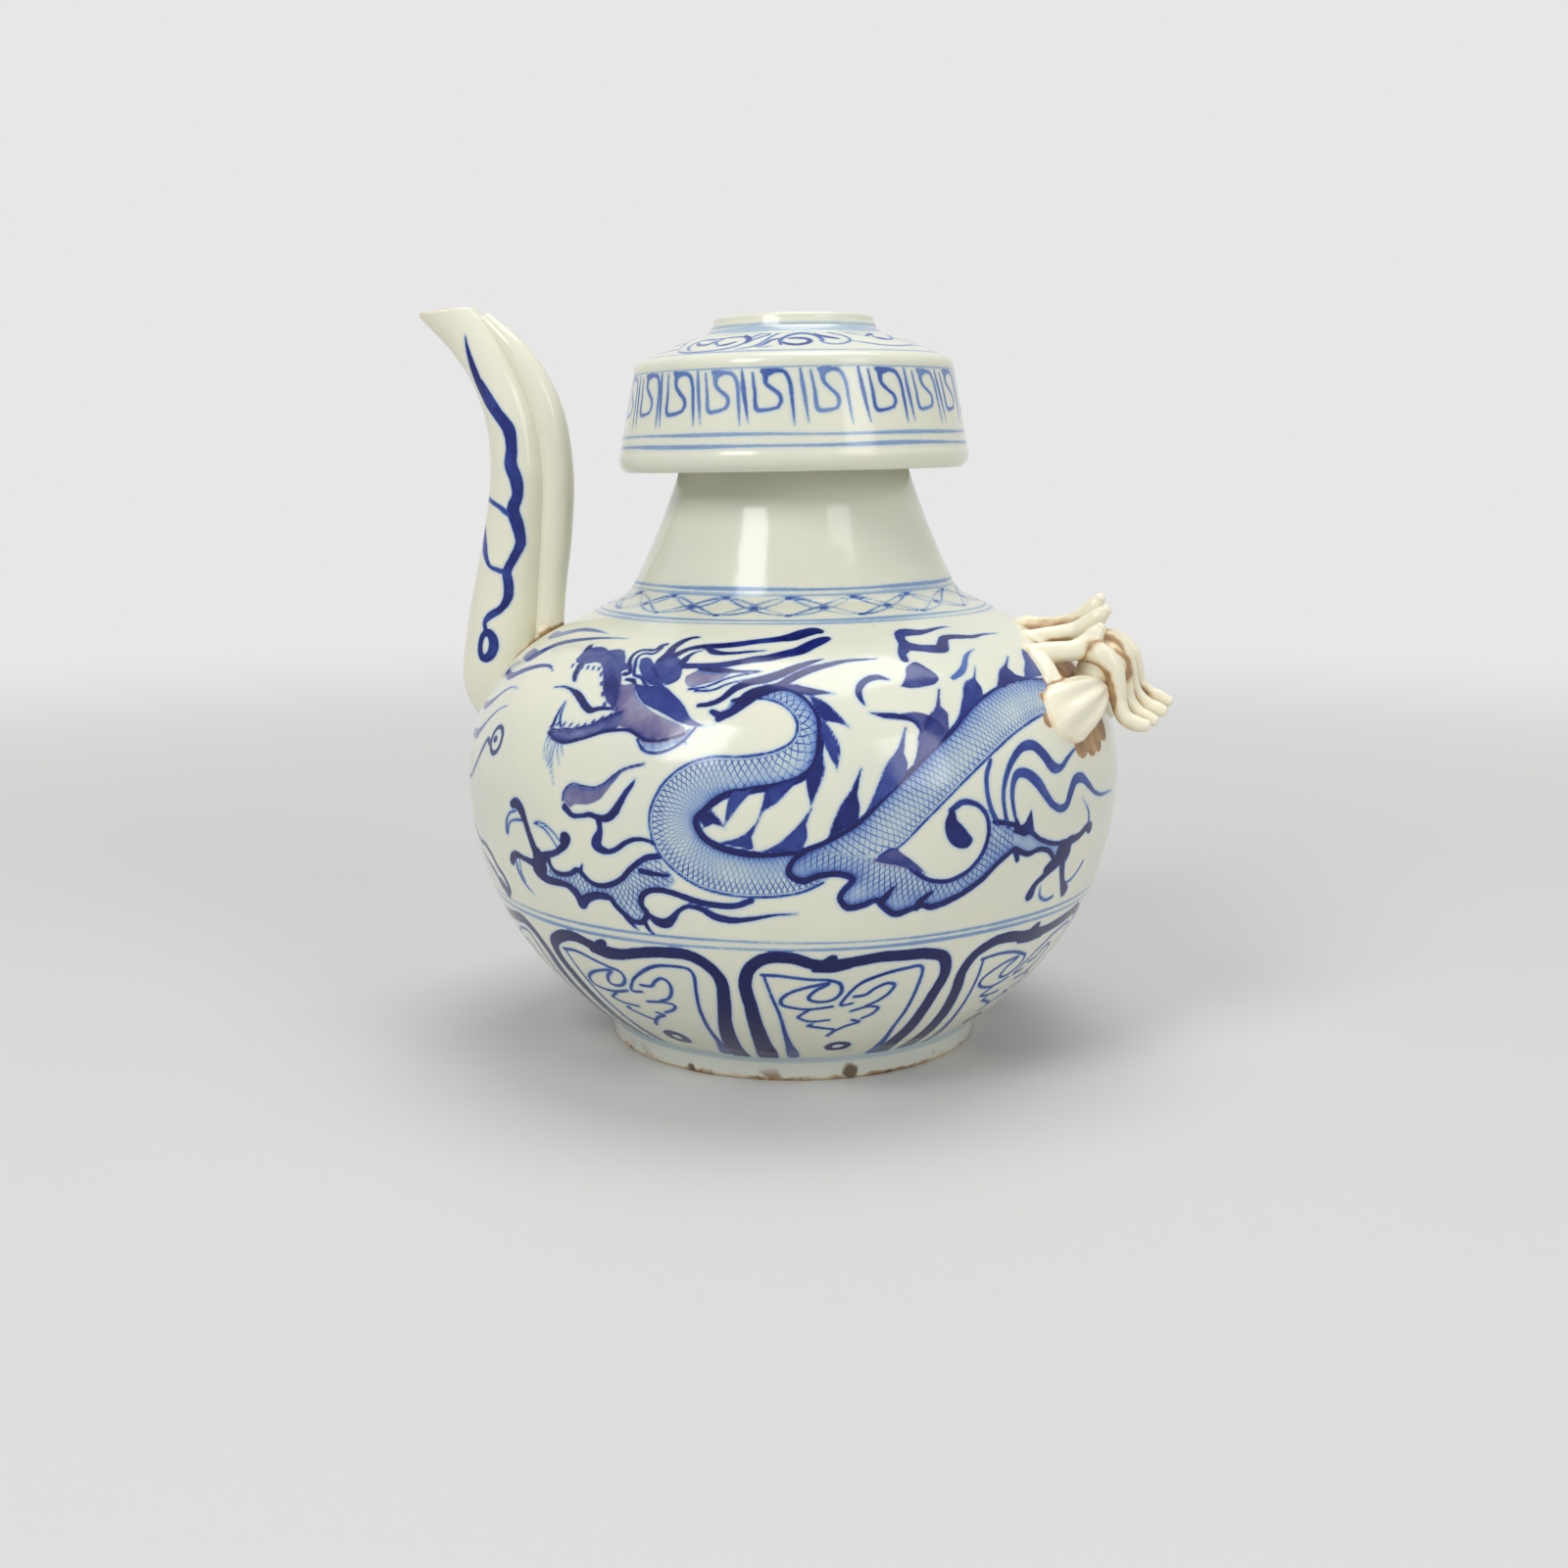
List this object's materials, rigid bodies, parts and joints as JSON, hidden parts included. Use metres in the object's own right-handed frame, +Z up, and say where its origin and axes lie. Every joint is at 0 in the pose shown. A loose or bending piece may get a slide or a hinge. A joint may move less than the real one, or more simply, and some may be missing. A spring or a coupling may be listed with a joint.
{
  "type": "porcelain ewer",
  "caption": "Round-bodied porcelain ewer on a foot ring, with a hat-shaped mouth on a tapering neck, a tall curved spout and a modelled tuft on the shoulder.",
  "frame": {"origin": "centre of the foot ring's resting plane, on the axis of the turned body", "axes": "+Z up along the axis of the turned body, -X towards the spout, +X towards the tuft on the shoulder, -Y towards the front that the picture shows"},
  "size_m": [0.208, 0.176, 0.1973],
  "materials": {
    "glazed_porcelain": "gloss",
    "foot_porcelain": "satin"
  },
  "bodies": {
    "root": {"foot_ring": "foot_porcelain", "lower_body": "glazed_porcelain", "upper_body": "glazed_porcelain", "neck": "glazed_porcelain", "throat": "glazed_porcelain", "hat_roof": "glazed_porcelain", "hat_skirt": "glazed_porcelain", "mouth_ring": "glazed_porcelain", "spout_tube": "glazed_porcelain", "spout_rib": "glazed_porcelain", "clay_lump": "glazed_porcelain", "tuft_knot": "glazed_porcelain", "tuft_fan_front": "glazed_porcelain", "tuft_fan_back": "glazed_porcelain", "tuft_upper_strand_1": "glazed_porcelain", "tuft_upper_strand_2": "glazed_porcelain", "tuft_upper_strand_3": "glazed_porcelain", "tuft_lower_strand_1": "glazed_porcelain", "tuft_lower_strand_2": "glazed_porcelain", "tuft_lower_strand_3": "glazed_porcelain", "tuft_lower_strand_4": "glazed_porcelain"}
  },
  "joints": []
}
